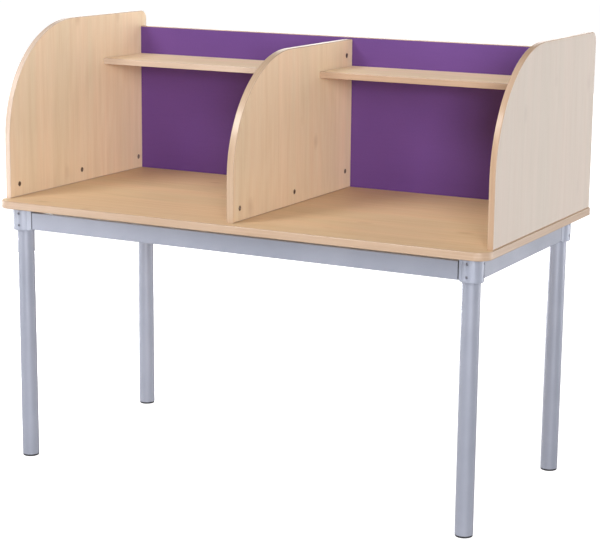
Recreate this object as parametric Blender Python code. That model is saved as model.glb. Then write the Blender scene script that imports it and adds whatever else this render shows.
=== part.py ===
"""Double study carrel: two work bays side by side on a four-legged tubular table frame.

World frame: metres, +Z up, +X along the row of bays, +Y towards the back panel.
The origin is on the floor, under the middle of the worktop. The users sit on the -Y side.
"""

import math

import bmesh
import bpy
from mathutils import Matrix, Vector

# Clearance between pieces that touch.
GAP = 0.0003

# Worktop.
TOP_WIDTH = 1.500
TOP_DEPTH = 0.770
TOP_HEIGHT = 0.760
TOP_THICKNESS = 0.022
TOP_CORNER_RADIUS = 0.042
TOP_BACK_CORNER_RADIUS = 0.004
TOP_ARRIS = 0.0025

# Upright boards.
SIDE_THICKNESS = 0.016
SIDE_INSET = 0.003
SIDE_FRONT_Y = -0.339
SIDE_BACK_Y = 0.380
SIDE_TOP_Z = 1.2545
SIDE_BACK_RADIUS = 0.028
DIVIDER_THICKNESS = 0.020
DIVIDER_FRONT_Y = -0.353
DIVIDER_TOP_Z = 1.201
DIVIDER_BACK_RADIUS = 0.003
ARCH_RADIUS = 0.325
BOARD_ARRIS = 0.0012

# Back panel, housed in a stopped groove in each side panel.
BACK_FRONT_Y = 0.348
BACK_THICKNESS = 0.018
BACK_TOP_Z = 1.207
GROOVE_DEPTH = 0.005

# Shelves.
SHELF_TOP_Z = 1.1225
SHELF_THICKNESS = 0.018
SHELF_FRONT_Y = 0.138

# Cam fittings that join the boards.
CAM_RADIUS = 0.0072
CAM_BORE_RADIUS = 0.0075
CAM_BORE_PAST_MIDDLE = 0.0045
CAM_SLOT_WIDTH = 0.0068
CAM_SLOT_PAST_CENTRE = 0.0020
CAM_CROSS_LENGTH = 0.0078
CAM_CROSS_WIDTH = 0.0017
CAM_CROSS_DEPTH = 0.0028
CAM_BOLT_REACH = 0.036
BOLT_SHANK_RADIUS = 0.0025
BOLT_HEAD_RADIUS = 0.0029
BOLT_HEAD_LENGTH = 0.0060
BOLT_THREAD_LENGTH = 0.011
BOLT_HOLE_RADIUS = 0.0040
THREAD_HOLE_RADIUS = 0.0028
SIDE_CAM_YS = (-0.296, 0.016, 0.328)
DIVIDER_CAM_YS = (-0.3155, -0.0065)
DIVIDER_BACK_CAM_ZS = (0.812, 1.155)

# Dowels and screws that hold the shelves.
DOWEL_RADIUS = 0.004
DOWEL_IN_SHELF = 0.020
DOWEL_IN_SIDE = 0.009
DOWEL_INSET_FROM_FRONT = 0.045
SHELF_SCREW_LENGTH = 0.045
SHELF_SCREW_RADIUS = 0.0020
SHELF_SCREW_HEAD_RADIUS = 0.0042
SHELF_SCREW_HEAD_LENGTH = 0.0030

# Table frame.
LEG_X = 0.688
LEG_FRONT_Y = -0.329
LEG_BACK_Y = 0.298
LEG_RADIUS = 0.02415
LEG_WALL = 0.0015
RAIL_FACE = 0.0235
RAIL_DEPTH = 0.025
RAIL_BOTTOM_Z = 0.679
RAIL_TOP_Z = 0.7280
RAIL_WALL = 0.0015
CASTING_BOTTOM_Z = 0.6745
CASTING_TOP_Z = TOP_HEIGHT - TOP_THICKNESS - GAP
BOSS_OFFSET = 0.0039
BOSS_RADIUS = 0.0295
BOSS_CHAMFER = 0.0030
FLANGE_REACH = {"front_left": 0.038, "front_right": 0.0275, "back_left": 0.0375, "back_right": 0.0375}
FLANGE_SLOPE = 0.0055
FLANGE_LIFT = 0.0008
SPIGOT_LENGTH = 0.030
SOCKET_CLEARANCE = 0.0003
SOCKET_CEILING = 0.0050

# Screws through each casting into its leg, and one up into the worktop.
CLAMP_SCREW_ZS = (0.690, 0.7235)
CLAMP_SHANK_RADIUS = 0.0020
CLAMP_HEAD_RADIUS = 0.0036
CLAMP_HEAD_LENGTH = 0.0022
CLAMP_COUNTERBORE = 0.0016
PAD_OFFSET = 0.0215
TOP_SCREW_RADIUS = 0.0020
TOP_SCREW_HEAD_RADIUS = 0.0040
TOP_SCREW_HEAD_LENGTH = 0.0030
TOP_SCREW_BITE = 0.014
PAD_PLATE = 0.0080

# Plastic foot pressed into each leg.
FOOT_FLANGE_RADIUS = 0.0235
FOOT_FLANGE_HEIGHT = 0.0050
FOOT_CHAMFER = 0.0015
FOOT_PLUG_RADIUS = 0.0221
FOOT_PLUG_HEIGHT = 0.028

# Fineness of the curves.
ROUND_SIDES = 32
CAM_SIDES = 20
SMALL_SIDES = 12
ARCH_STEPS = 20
CORNER_STEPS = 5
ARRIS_STEPS = 2

# Colour, roughness and metallic value of each material.
FINISHES = {
    "maple_board": ((0.66, 0.50, 0.34), 0.45, 0.0),
    "purple_board": ((0.14, 0.05, 0.21), 0.60, 0.0),
    "silver_coat": ((0.40, 0.41, 0.52), 0.40, 0.3),
    "casting_coat": ((0.44, 0.45, 0.55), 0.38, 0.3),
    "black_plastic": ((0.02, 0.02, 0.022), 0.50, 0.0),
    "cam_zinc": ((0.25, 0.20, 0.16), 0.40, 0.8),
    "bolt_steel": ((0.55, 0.55, 0.57), 0.30, 1.0),
    "dowel_beech": ((0.62, 0.44, 0.27), 0.70, 0.0),
}


def clear_scene():
    for obj in list(bpy.data.objects):
        bpy.data.objects.remove(obj, do_unlink=True)


def finish_of(node, finish):
    """A material of the node's own, from the named finish."""
    colour, roughness, metallic = FINISHES[finish]
    material = bpy.data.materials.new(node + "_" + finish)
    material.use_nodes = True
    shader = material.node_tree.nodes["Principled BSDF"]
    shader.inputs["Base Color"].default_value = (*colour, 1.0)
    shader.inputs["Roughness"].default_value = roughness
    shader.inputs["Metallic"].default_value = metallic
    return material


def object_from(name, verts, faces, finish=None):
    mesh = bpy.data.meshes.new(name)
    mesh.from_pydata([tuple(v) for v in verts], [], faces)
    bm = bmesh.new()
    bm.from_mesh(mesh)
    bmesh.ops.recalc_face_normals(bm, faces=bm.faces)
    bm.to_mesh(mesh)
    bm.free()
    obj = bpy.data.objects.new(name, mesh)
    bpy.context.scene.collection.objects.link(obj)
    if finish:
        mesh.materials.append(finish_of(name, finish))
        mesh.shade_smooth()
        mesh.set_sharp_from_angle(angle=math.radians(32))
    return obj


def stack(name, rings, finish=None):
    """A closed solid skinned over a stack of rings that all hold the same number of points."""
    count = len(rings[0])
    verts = [p for ring in rings for p in ring]
    faces = [tuple(reversed(range(count)))]
    for level in range(len(rings) - 1):
        low = level * count
        for i in range(count):
            j = (i + 1) % count
            faces.append((low + i, low + j, low + count + j, low + count + i))
    top = (len(rings) - 1) * count
    faces.append(tuple(range(top, top + count)))
    return object_from(name, verts, faces, finish)


def box(name, low, high, finish=None):
    x0, y0, z0 = low
    x1, y1, z1 = high
    outline = [(x0, y0), (x1, y0), (x1, y1), (x0, y1)]
    rings = [[(x, y, z) for x, y in outline] for z in (z0, z1)]
    return stack(name, rings, finish)


def turned(name, origin, axis, stations, sides, finish=None):
    """A solid turned about an axis: stations are (distance along the axis, radius) pairs."""
    turn = Vector((0, 0, 1)).rotation_difference(Vector(axis)).to_matrix()
    place = Matrix.Translation(origin) @ turn.to_4x4()
    rings = []
    for along, radius in stations:
        ring = []
        for i in range(sides):
            angle = 2 * math.pi * i / sides
            ring.append(place @ Vector((radius * math.cos(angle), radius * math.sin(angle), along)))
        rings.append(ring)
    return stack(name, rings, finish)


def cut(target, cutter):
    """Takes the cutter's volume out of the target. The cutter stays as a wire helper."""
    cutter.hide_render = True
    cutter.display_type = "WIRE"
    modifier = target.modifiers.new(cutter.name, "BOOLEAN")
    modifier.operation = "DIFFERENCE"
    modifier.solver = "EXACT"
    modifier.object = cutter


def arc(centre, radius, start, end, steps):
    """Points along an arc, from the start angle to the end angle in degrees."""
    points = []
    for i in range(steps + 1):
        angle = math.radians(start + (end - start) * i / steps)
        points.append((centre[0] + radius * math.cos(angle), centre[1] + radius * math.sin(angle)))
    return points


def shrunk(outline, distance):
    """The convex, anticlockwise outline moved inwards by a distance, point for point."""
    moved = []
    count = len(outline)
    for i in range(count):
        before = Vector(outline[i - 1])
        here = Vector(outline[i])
        after = Vector(outline[(i + 1) % count])
        first = (here - before).normalized()
        second = (after - here).normalized()
        normal_1 = Vector((-first.y, first.x))
        normal_2 = Vector((-second.y, second.x))
        mitre = (normal_1 + normal_2) / (1 + normal_1.dot(normal_2))
        moved.append(tuple(here + mitre * distance))
    return moved


def board(name, outline, place, low, high, arris, finish):
    """A flat board with rounded arrises. place turns (u, v, w) into (x, y, z), w across the board."""
    rings = []
    for i in range(ARRIS_STEPS):
        angle = math.radians(90 * i / ARRIS_STEPS)
        ring = shrunk(outline, arris * (1 - math.sin(angle)))
        rings.append([place(u, v, low + arris * (1 - math.cos(angle))) for u, v in ring])
    rings.append([place(u, v, low + arris) for u, v in outline])
    rings.append([place(u, v, high - arris) for u, v in outline])
    for i in reversed(range(ARRIS_STEPS)):
        angle = math.radians(90 * i / ARRIS_STEPS)
        ring = shrunk(outline, arris * (1 - math.sin(angle)))
        rings.append([place(u, v, high - arris * (1 - math.cos(angle))) for u, v in ring])
    return stack(name, rings, finish)


def across_x(u, v, w):
    return (w, u, v)


def across_z(u, v, w):
    return (u, v, w)


def upright_outline(front, back, bottom, top, back_radius):
    """Side view of an upright: a square foot, a quarter-round front shoulder and a level top."""
    points = [(front, bottom), (back, bottom)]
    points += arc((back - back_radius, top - back_radius), back_radius, 0, 90, CORNER_STEPS)
    points += arc((front + ARCH_RADIUS, top - ARCH_RADIUS), ARCH_RADIUS, 90, 180, ARCH_STEPS)
    return points


def rectangle(u0, v0, u1, v1):
    return [(u0, v0), (u1, v0), (u1, v1), (u0, v1)]


def make_worktop():
    half_w = TOP_WIDTH / 2
    half_d = TOP_DEPTH / 2
    corners = [
        (-half_w, -half_d, TOP_CORNER_RADIUS, 180),
        (half_w, -half_d, TOP_CORNER_RADIUS, 270),
        (half_w, half_d, TOP_BACK_CORNER_RADIUS, 0),
        (-half_w, half_d, TOP_BACK_CORNER_RADIUS, 90),
    ]
    outline = []
    for x, y, radius, start in corners:
        centre = (x - math.copysign(radius, x), y - math.copysign(radius, y))
        outline += arc(centre, radius, start, start + 90, CORNER_STEPS)
    low = TOP_HEIGHT - TOP_THICKNESS
    return board("worktop", outline, across_z, low, TOP_HEIGHT, TOP_ARRIS, "maple_board")


def side_face(side):
    """X of a side panel's inner face."""
    return side * (TOP_WIDTH / 2 - SIDE_INSET - SIDE_THICKNESS)


def make_side_panel(name, side):
    inner = side_face(side)
    outer = inner + side * SIDE_THICKNESS
    bottom = TOP_HEIGHT + GAP
    outline = upright_outline(SIDE_FRONT_Y, SIDE_BACK_Y, bottom, SIDE_TOP_Z, SIDE_BACK_RADIUS)
    low, high = sorted((inner, outer))
    panel = board(name, outline, across_x, low, high, BOARD_ARRIS, "maple_board")
    over = 0.004
    groove_low, groove_high = sorted((inner - side * over, inner + side * GROOVE_DEPTH))
    groove = box(
        name + "_groove_cut",
        (groove_low, BACK_FRONT_Y - GAP, bottom - over),
        (groove_high, BACK_FRONT_Y + BACK_THICKNESS + GAP, BACK_TOP_Z + GAP),
    )
    cut(panel, groove)
    return panel


def make_divider():
    bottom = TOP_HEIGHT + GAP
    back = BACK_FRONT_Y - GAP
    outline = upright_outline(DIVIDER_FRONT_Y, back, bottom, DIVIDER_TOP_Z, DIVIDER_BACK_RADIUS)
    half = DIVIDER_THICKNESS / 2
    return board("centre_divider", outline, across_x, -half, half, BOARD_ARRIS, "maple_board")


def make_back_panel():
    end = side_face(1) + GROOVE_DEPTH - GAP
    outline = rectangle(-end, TOP_HEIGHT + GAP, end, BACK_TOP_Z)

    def across_y(u, v, w):
        return (u, w, v)

    low = BACK_FRONT_Y
    high = BACK_FRONT_Y + BACK_THICKNESS
    return board("back_panel", outline, across_y, low, high, BOARD_ARRIS, "purple_board")


def make_shelf(name, side):
    near = side * (DIVIDER_THICKNESS / 2 + GAP)
    far = side_face(side) - side * GAP
    x0, x1 = sorted((near, far))
    outline = rectangle(x0, SHELF_FRONT_Y, x1, BACK_FRONT_Y - GAP)
    low = SHELF_TOP_Z - SHELF_THICKNESS
    return board(name, outline, across_z, low, SHELF_TOP_Z, BOARD_ARRIS, "maple_board")


def add_cam(name, panel, mate, face, inward, bolt_end, bolt_way, board_thickness):
    """A cam let into a panel's face, with the bolt that it pulls out of the mating board.

    face is the cam's centre on the panel's face, inward the direction into the panel,
    bolt_end the point on the mating board's surface and bolt_way the way from it to the cam.
    """
    face = Vector(face)
    inward = Vector(inward)
    way = Vector(bolt_way)
    middle = face + inward * board_thickness / 2
    depth = board_thickness / 2 + CAM_BORE_PAST_MIDDLE
    over = 0.004
    bore = [(-over, CAM_BORE_RADIUS), (depth, CAM_BORE_RADIUS)]
    cut(panel, turned(name + "_bore_cut", face, inward, bore, CAM_SIDES))
    start = Vector(bolt_end) - way * over
    reach = (middle - start).dot(way)
    hole = [(0, BOLT_HOLE_RADIUS), (reach, BOLT_HOLE_RADIUS)]
    cut(panel, turned(name + "_bolt_hole_cut", start, way, hole, SMALL_SIDES))
    inside = Vector(bolt_end) - way * (BOLT_THREAD_LENGTH + GAP)
    thread = [(0, THREAD_HOLE_RADIUS), (BOLT_THREAD_LENGTH + over, THREAD_HOLE_RADIUS)]
    cut(mate, turned(name + "_thread_hole_cut", inside, way, thread, SMALL_SIDES))

    tip = Vector(bolt_end) - way * BOLT_THREAD_LENGTH
    length = (middle - tip).dot(way)
    neck = length - BOLT_HEAD_LENGTH
    shape = [
        (0, BOLT_SHANK_RADIUS * 0.7),
        (BOLT_SHANK_RADIUS * 0.5, BOLT_SHANK_RADIUS),
        (neck, BOLT_SHANK_RADIUS),
        (neck + 0.0001, BOLT_HEAD_RADIUS),
        (length, BOLT_HEAD_RADIUS),
    ]
    turned(name + "_bolt", tip, way, shape, SMALL_SIDES, "bolt_steel")

    disc = [(GAP, CAM_RADIUS), (depth - GAP, CAM_RADIUS)]
    cam = turned(name, face, inward, disc, CAM_SIDES, "cam_zinc")
    across = inward.cross(way)
    half = CAM_SLOT_WIDTH / 2
    near = board_thickness / 2 - half
    slot = []
    for depth_at in (near, depth + over):
        for wide, along in ((-half, -0.012), (half, -0.012), (half, None), (-half, None)):
            reach_at = CAM_SLOT_PAST_CENTRE if along is None else along
            slot.append(face + inward * depth_at + across * wide + way * reach_at)
    faces = [(0, 1, 2, 3), (4, 5, 6, 7), (0, 1, 5, 4), (1, 2, 6, 5), (2, 3, 7, 6), (3, 0, 4, 7)]
    cut(cam, object_from(name + "_slot_cut", slot, faces))
    long_half = CAM_CROSS_LENGTH / 2
    thin_half = CAM_CROSS_WIDTH / 2
    outline = []
    for turn in range(4):
        angle = math.radians(45 + 90 * turn)
        for u, v in ((long_half, -thin_half), (long_half, thin_half), (thin_half, thin_half)):
            turned_u = u * math.cos(angle) - v * math.sin(angle)
            turned_v = u * math.sin(angle) + v * math.cos(angle)
            outline.append((turned_u, turned_v))
    rings = []
    for depth_at in (-over, CAM_CROSS_DEPTH):
        rings.append([face + inward * depth_at + across * u + way * v for u, v in outline])
    cut(cam, stack(name + "_cross_cut", rings))
    return cam


def add_cams(worktop, sides, divider, back_panel):
    """The cams along the foot of each upright, and those that hold the divider to the back."""
    for label, side in (("left", -1), ("right", 1)):
        inner = side_face(side)
        middle = inner + side * SIDE_THICKNESS / 2
        for place, y in zip(("front", "middle", "back"), SIDE_CAM_YS):
            add_cam(
                label + "_panel_cam_" + place,
                sides[label],
                worktop,
                (inner, y, TOP_HEIGHT + CAM_BOLT_REACH),
                (side, 0, 0),
                (middle, y, TOP_HEIGHT),
                (0, 0, 1),
                SIDE_THICKNESS,
            )
    half = DIVIDER_THICKNESS / 2
    for place, y in zip(("front", "middle"), DIVIDER_CAM_YS):
        add_cam(
            "divider_cam_" + place,
            divider,
            worktop,
            (half, y, TOP_HEIGHT + CAM_BOLT_REACH),
            (-1, 0, 0),
            (0, y, TOP_HEIGHT),
            (0, 0, 1),
            DIVIDER_THICKNESS,
        )
    for place, z in zip(("lower", "upper"), DIVIDER_BACK_CAM_ZS):
        add_cam(
            "divider_cam_back_" + place,
            divider,
            back_panel,
            (half, BACK_FRONT_Y - CAM_BOLT_REACH, z),
            (-1, 0, 0),
            (0, BACK_FRONT_Y, z),
            (0, -1, 0),
            DIVIDER_THICKNESS,
        )


def add_dowel(name, start, way, length, boards):
    """A wooden dowel with its blind hole in each of the boards that it joins."""
    start = Vector(start)
    way = Vector(way)
    chamfer = 0.001
    shape = [
        (0, DOWEL_RADIUS - chamfer),
        (chamfer, DOWEL_RADIUS),
        (length - chamfer, DOWEL_RADIUS),
        (length, DOWEL_RADIUS - chamfer),
    ]
    turned(name, start, way, shape, SMALL_SIDES, "dowel_beech")
    hole = [(-GAP, DOWEL_RADIUS + GAP), (length + GAP, DOWEL_RADIUS + GAP)]
    for panel in boards:
        cut(panel, turned(name + "_hole_in_" + panel.name, start, way, hole, SMALL_SIDES))


def add_shelf_fixings(shelves, sides, divider, back_panel):
    y = SHELF_FRONT_Y + DOWEL_INSET_FROM_FRONT
    z = SHELF_TOP_Z - SHELF_THICKNESS / 2
    length = DOWEL_IN_SHELF + DOWEL_IN_SIDE
    for label, side in (("left", -1), ("right", 1)):
        start = (side_face(side) - side * DOWEL_IN_SHELF, y, z)
        add_dowel("shelf_dowel_" + label, start, (side, 0, 0), length, (shelves[label], sides[label]))
    reach = DIVIDER_THICKNESS / 2 + DOWEL_IN_SHELF
    through = (shelves["left"], shelves["right"], divider)
    add_dowel("shelf_dowel_centre", (-reach, y, z), (1, 0, 0), 2 * reach, through)
    for label, side in (("left", -1), ("right", 1)):
        x = (side_face(side) + side * DIVIDER_THICKNESS / 2) / 2
        back = BACK_FRONT_Y + BACK_THICKNESS
        origin = (x, back, z)
        head = SHELF_SCREW_HEAD_LENGTH
        shape = [
            (GAP, SHELF_SCREW_HEAD_RADIUS),
            (head, SHELF_SCREW_RADIUS),
            (SHELF_SCREW_LENGTH - 0.004, SHELF_SCREW_RADIUS),
            (SHELF_SCREW_LENGTH, SHELF_SCREW_RADIUS * 0.3),
        ]
        turned("shelf_screw_" + label, origin, (0, -1, 0), shape, SMALL_SIDES, "bolt_steel")
        over = 0.002
        clear = [
            (-over, SHELF_SCREW_HEAD_RADIUS + 2 * GAP + over * 0.75),
            (head + GAP, SHELF_SCREW_RADIUS + GAP),
            (SHELF_SCREW_LENGTH + GAP, SHELF_SCREW_RADIUS + GAP),
        ]
        for panel in (back_panel, shelves[label]):
            hole = "shelf_screw_hole_" + label + "_" + panel.name
            cut(panel, turned(hole, origin, (0, -1, 0), clear, SMALL_SIDES))


def make_rail(name, low, high, along):
    """A rectangular tube, open at both ends, that runs along the given axis (0 is X, 1 is Y)."""
    rail = box(name, low, high, "silver_coat")
    inner_low = [v + RAIL_WALL for v in low]
    inner_high = [v - RAIL_WALL for v in high]
    inner_low[along] = low[along] - 0.005
    inner_high[along] = high[along] + 0.005
    cut(rail, box(name + "_hollow_cut", inner_low, inner_high))
    bevel = rail.modifiers.new("edge_radius", "BEVEL")
    bevel.width = 0.0007
    bevel.segments = 2
    bevel.limit_method = "ANGLE"
    return rail


def make_rails():
    clear = {label: reach + 0.0010 for label, reach in FLANGE_REACH.items()}
    for end, y, out in (("front", LEG_FRONT_Y, -1), ("back", LEG_BACK_Y, 1)):
        y0, y1 = sorted((y + out * RAIL_FACE, y + out * (RAIL_FACE - RAIL_DEPTH)))
        x0 = clear[end + "_left"] - LEG_X
        x1 = LEG_X - clear[end + "_right"]
        make_rail(end + "_rail", (x0, y0, RAIL_BOTTOM_Z), (x1, y1, RAIL_TOP_Z), 0)
    for side, out in (("left", -1), ("right", 1)):
        x0, x1 = sorted((out * (LEG_X + RAIL_FACE), out * (LEG_X + RAIL_FACE - RAIL_DEPTH)))
        y0 = LEG_FRONT_Y + clear["front_" + side]
        y1 = LEG_BACK_Y - clear["back_" + side]
        make_rail(side + "_rail", (x0, y0, RAIL_BOTTOM_Z), (x1, y1, RAIL_TOP_Z), 1)


def make_corner(label, sx, sy, worktop):
    """One corner of the table frame: the casting, its leg, foot and screws.

    sx and sy point outwards, so local (u, v) is (sx * u, sy * v) from the leg's axis.
    """
    axis_x = sx * LEG_X
    axis_y = LEG_FRONT_Y if sy < 0 else LEG_BACK_Y
    flange = FLANGE_REACH[label]

    def at(u, v, z):
        return (axis_x + sx * u, axis_y + sy * v, z)

    def local_box(name, low, high):
        a = at(*low)
        b = at(*high)
        return box(name, [min(p, q) for p, q in zip(a, b)], [max(p, q) for p, q in zip(a, b)])

    centre = at(BOSS_OFFSET, BOSS_OFFSET, CASTING_BOTTOM_Z)
    height = CASTING_TOP_Z - CASTING_BOTTOM_Z
    stations = [
        (0, BOSS_RADIUS - BOSS_CHAMFER),
        (BOSS_CHAMFER * 0.3, BOSS_RADIUS - BOSS_CHAMFER * 0.3),
        (BOSS_CHAMFER, BOSS_RADIUS),
        (height, BOSS_RADIUS),
    ]
    name = "corner_casting_" + label
    casting = turned(name, centre, (0, 0, 1), stations, ROUND_SIDES, "casting_coat")
    pieces = []

    square = rectangle(-flange, -flange, RAIL_FACE, RAIL_FACE)
    low_end = FLANGE_SLOPE - flange
    low_square = rectangle(low_end, low_end, RAIL_FACE, RAIL_FACE)
    rings = [
        [at(u, v, CASTING_BOTTOM_Z + FLANGE_LIFT) for u, v in low_square],
        [at(u, v, RAIL_BOTTOM_Z + FLANGE_LIFT) for u, v in square],
        [at(u, v, CASTING_TOP_Z) for u, v in square],
    ]
    pieces.append(stack(name + "_block", rings))
    inset = RAIL_WALL + GAP
    narrow = (RAIL_FACE - RAIL_DEPTH + inset, RAIL_FACE - inset)
    z0 = RAIL_BOTTOM_Z + inset
    z1 = RAIL_TOP_Z - inset
    end = -flange - SPIGOT_LENGTH
    root = -flange + 0.004
    pieces.append(local_box(name + "_spigot_x", (end, narrow[0], z0), (root, narrow[1], z1)))
    pieces.append(local_box(name + "_spigot_y", (narrow[0], end, z0), (narrow[1], root, z1)))
    for piece in pieces:
        piece.hide_render = True
        piece.display_type = "WIRE"
        join = casting.modifiers.new(piece.name, "BOOLEAN")
        join.operation = "UNION"
        join.solver = "EXACT"
        join.object = piece

    socket_top = CASTING_TOP_Z - SOCKET_CEILING
    bottom = CASTING_BOTTOM_Z - 0.005
    socket_radius = LEG_RADIUS + SOCKET_CLEARANCE
    socket = [(0, socket_radius), (socket_top - bottom, socket_radius)]
    cut(casting, turned(name + "_socket_cut", at(0, 0, bottom), (0, 0, 1), socket, ROUND_SIDES))

    foot_top = FOOT_FLANGE_HEIGHT
    foot = [
        (0, FOOT_FLANGE_RADIUS - FOOT_CHAMFER),
        (FOOT_CHAMFER, FOOT_FLANGE_RADIUS),
        (foot_top, FOOT_FLANGE_RADIUS),
        (foot_top + 0.0001, FOOT_PLUG_RADIUS),
        (FOOT_PLUG_HEIGHT - FOOT_CHAMFER, FOOT_PLUG_RADIUS),
        (FOOT_PLUG_HEIGHT, FOOT_PLUG_RADIUS - FOOT_CHAMFER),
    ]
    turned("foot_insert_" + label, at(0, 0, 0), (0, 0, 1), foot, ROUND_SIDES, "black_plastic")

    leg_bottom = foot_top + 2 * GAP
    leg_length = socket_top - GAP - leg_bottom
    tube = [(0, LEG_RADIUS), (leg_length, LEG_RADIUS)]
    leg = turned("leg_" + label, at(0, 0, leg_bottom), (0, 0, 1), tube, ROUND_SIDES, "silver_coat")
    hollow = [(-0.005, LEG_RADIUS - LEG_WALL), (leg_length + 0.005, LEG_RADIUS - LEG_WALL)]
    cut(leg, turned(leg.name + "_hollow_cut", at(0, 0, leg_bottom), (0, 0, 1), hollow, ROUND_SIDES))

    face = BOSS_OFFSET + math.sqrt(BOSS_RADIUS**2 - BOSS_OFFSET**2)
    seat = face - CLAMP_COUNTERBORE
    inner_end = LEG_RADIUS - LEG_WALL - 0.003
    for level, z in zip(("lower", "upper"), CLAMP_SCREW_ZS):
        screw_name = "clamp_screw_" + label + "_" + level
        inwards = (0, -sy, 0)
        origin = at(0, seat, z)
        shape = [
            (-CLAMP_HEAD_LENGTH, CLAMP_HEAD_RADIUS * 0.55),
            (-CLAMP_HEAD_LENGTH * 0.7, CLAMP_HEAD_RADIUS * 0.86),
            (-CLAMP_HEAD_LENGTH * 0.3, CLAMP_HEAD_RADIUS),
            (-GAP, CLAMP_HEAD_RADIUS),
            (-GAP + 0.0001, CLAMP_SHANK_RADIUS),
            (seat - inner_end, CLAMP_SHANK_RADIUS),
        ]
        turned(screw_name, origin, inwards, shape, SMALL_SIDES, "bolt_steel")
        bore = [
            (-0.006, CLAMP_HEAD_RADIUS + 0.0004),
            (0, CLAMP_HEAD_RADIUS + 0.0004),
            (0.0001, CLAMP_SHANK_RADIUS + GAP),
            (seat - inner_end + 0.002, CLAMP_SHANK_RADIUS + GAP),
        ]
        for piece in (casting, leg):
            hole = screw_name + "_hole_" + piece.name
            cut(piece, turned(hole, origin, inwards, bore, SMALL_SIDES))

    pad = at(-PAD_OFFSET, -PAD_OFFSET, CASTING_TOP_Z - PAD_PLATE)
    drop = PAD_PLATE + TOP_SCREW_BITE
    shape = [
        (-TOP_SCREW_HEAD_LENGTH, TOP_SCREW_HEAD_RADIUS * 0.6),
        (-TOP_SCREW_HEAD_LENGTH * 0.4, TOP_SCREW_HEAD_RADIUS),
        (-GAP, TOP_SCREW_HEAD_RADIUS),
        (-GAP + 0.0001, TOP_SCREW_RADIUS),
        (drop - 0.004, TOP_SCREW_RADIUS),
        (drop, TOP_SCREW_RADIUS * 0.3),
    ]
    turned("worktop_screw_" + label, pad, (0, 0, 1), shape, SMALL_SIDES, "bolt_steel")
    bore = [
        (CASTING_BOTTOM_Z - pad[2] - 0.003, TOP_SCREW_HEAD_RADIUS + 0.0006),
        (0, TOP_SCREW_HEAD_RADIUS + 0.0006),
        (0.0001, TOP_SCREW_RADIUS + GAP),
        (drop + GAP, TOP_SCREW_RADIUS + GAP),
    ]
    for piece in (casting, worktop):
        hole = "worktop_screw_hole_" + label + "_" + piece.name
        cut(piece, turned(hole, pad, (0, 0, 1), bore, SMALL_SIDES))


def main():
    clear_scene()
    worktop = make_worktop()
    sides = {
        "left": make_side_panel("left_side_panel", -1),
        "right": make_side_panel("right_side_panel", 1),
    }
    divider = make_divider()
    back_panel = make_back_panel()
    shelves = {"left": make_shelf("left_shelf", -1), "right": make_shelf("right_shelf", 1)}
    add_cams(worktop, sides, divider, back_panel)
    add_shelf_fixings(shelves, sides, divider, back_panel)
    make_rails()
    for label, sx, sy in (
        ("front_left", -1, -1),
        ("front_right", 1, -1),
        ("back_left", -1, 1),
        ("back_right", 1, 1),
    ):
        make_corner(label, sx, sy, worktop)


main()
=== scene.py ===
"""Looks of the double study carrel: banded boards, the coated tube frame, fittings, light and camera.

Every length is in metres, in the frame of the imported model: +X along the bays, +Y towards the back, +Z up.
"""

import math

import bmesh
import bpy
from mathutils import Matrix, Vector


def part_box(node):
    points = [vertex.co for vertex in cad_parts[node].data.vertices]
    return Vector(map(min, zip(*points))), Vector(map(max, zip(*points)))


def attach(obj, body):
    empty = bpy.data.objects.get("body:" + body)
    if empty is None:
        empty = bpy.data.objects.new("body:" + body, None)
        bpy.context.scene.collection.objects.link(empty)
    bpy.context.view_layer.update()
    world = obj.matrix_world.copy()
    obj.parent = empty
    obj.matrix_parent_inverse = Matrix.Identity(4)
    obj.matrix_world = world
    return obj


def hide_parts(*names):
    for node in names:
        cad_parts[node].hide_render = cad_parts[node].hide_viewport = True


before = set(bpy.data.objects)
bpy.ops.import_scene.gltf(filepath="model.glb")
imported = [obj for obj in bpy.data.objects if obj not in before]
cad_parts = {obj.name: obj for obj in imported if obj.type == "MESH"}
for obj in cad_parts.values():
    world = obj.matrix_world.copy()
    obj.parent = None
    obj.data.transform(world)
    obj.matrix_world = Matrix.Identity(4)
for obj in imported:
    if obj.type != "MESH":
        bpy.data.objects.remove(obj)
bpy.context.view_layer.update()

CORNERS = (
    ("front_left", -1, -1),
    ("front_right", 1, -1),
    ("back_left", -1, 1),
    ("back_right", 1, 1),
)

# Boards.
BAND = 0.0020  # thickness of the edge band
BAND_SINK = 0.00006  # how far the band lies below the board's faces
BOARD_CHAMFER = 0.00015  # where the laminate meets the band
ARRIS = 0.0016
TOP_ARRIS = 0.0030
ARRIS_STEPS = 5
ARCH_RADIUS = 0.325
ARCH_STEPS = 72
CORNER_STEPS = 14
SIDE_BACK_RADIUS = 0.028
DIVIDER_BACK_RADIUS = 0.003
TOP_FRONT_RADIUS = 0.042
TOP_BACK_RADIUS = 0.004
GROOVE_GAP = 0.0003  # round the back panel's ends, in the side panels' grooves

# Tube frame.
RAIL_FACE = 0.0235  # from a leg's axis out to the rails' faces
RAIL_RADIUS = 0.0022
RAIL_WALL = 0.0015
RAIL_LIP = 0.0003
LEG_WALL = 0.0015
LEG_LIP = 0.0005
COLLAR_PROUD = 0.0004
BOSS_OFFSET = 0.0039  # from a leg's axis out to the boss's, in X and in Y
BOSS_RADIUS = 0.0295
BOSS_EDGE = 0.0030  # rounding of a casting's lower edge
BOSS_EDGE_STEPS = 5
JOINT_GAP = 0.0028  # between a rail's end and a casting's flange, filled by a black ring that paints in the gap's shadow
# The black ring in each joint is painted shadow: it stands for the dark gap.
SHADE_RING_GAP = 0.0002
SHADE_RING_SINK = 0.0005
FLANGE_SLOPE = 0.0055
FLANGE_CORNER = 0.0012
FILLET = 0.0040
SPIGOT_LENGTH = 0.030
SPIGOT_GAP = 0.0004
SOCKET_GAP = 0.0003
ROUND = 96

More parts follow.
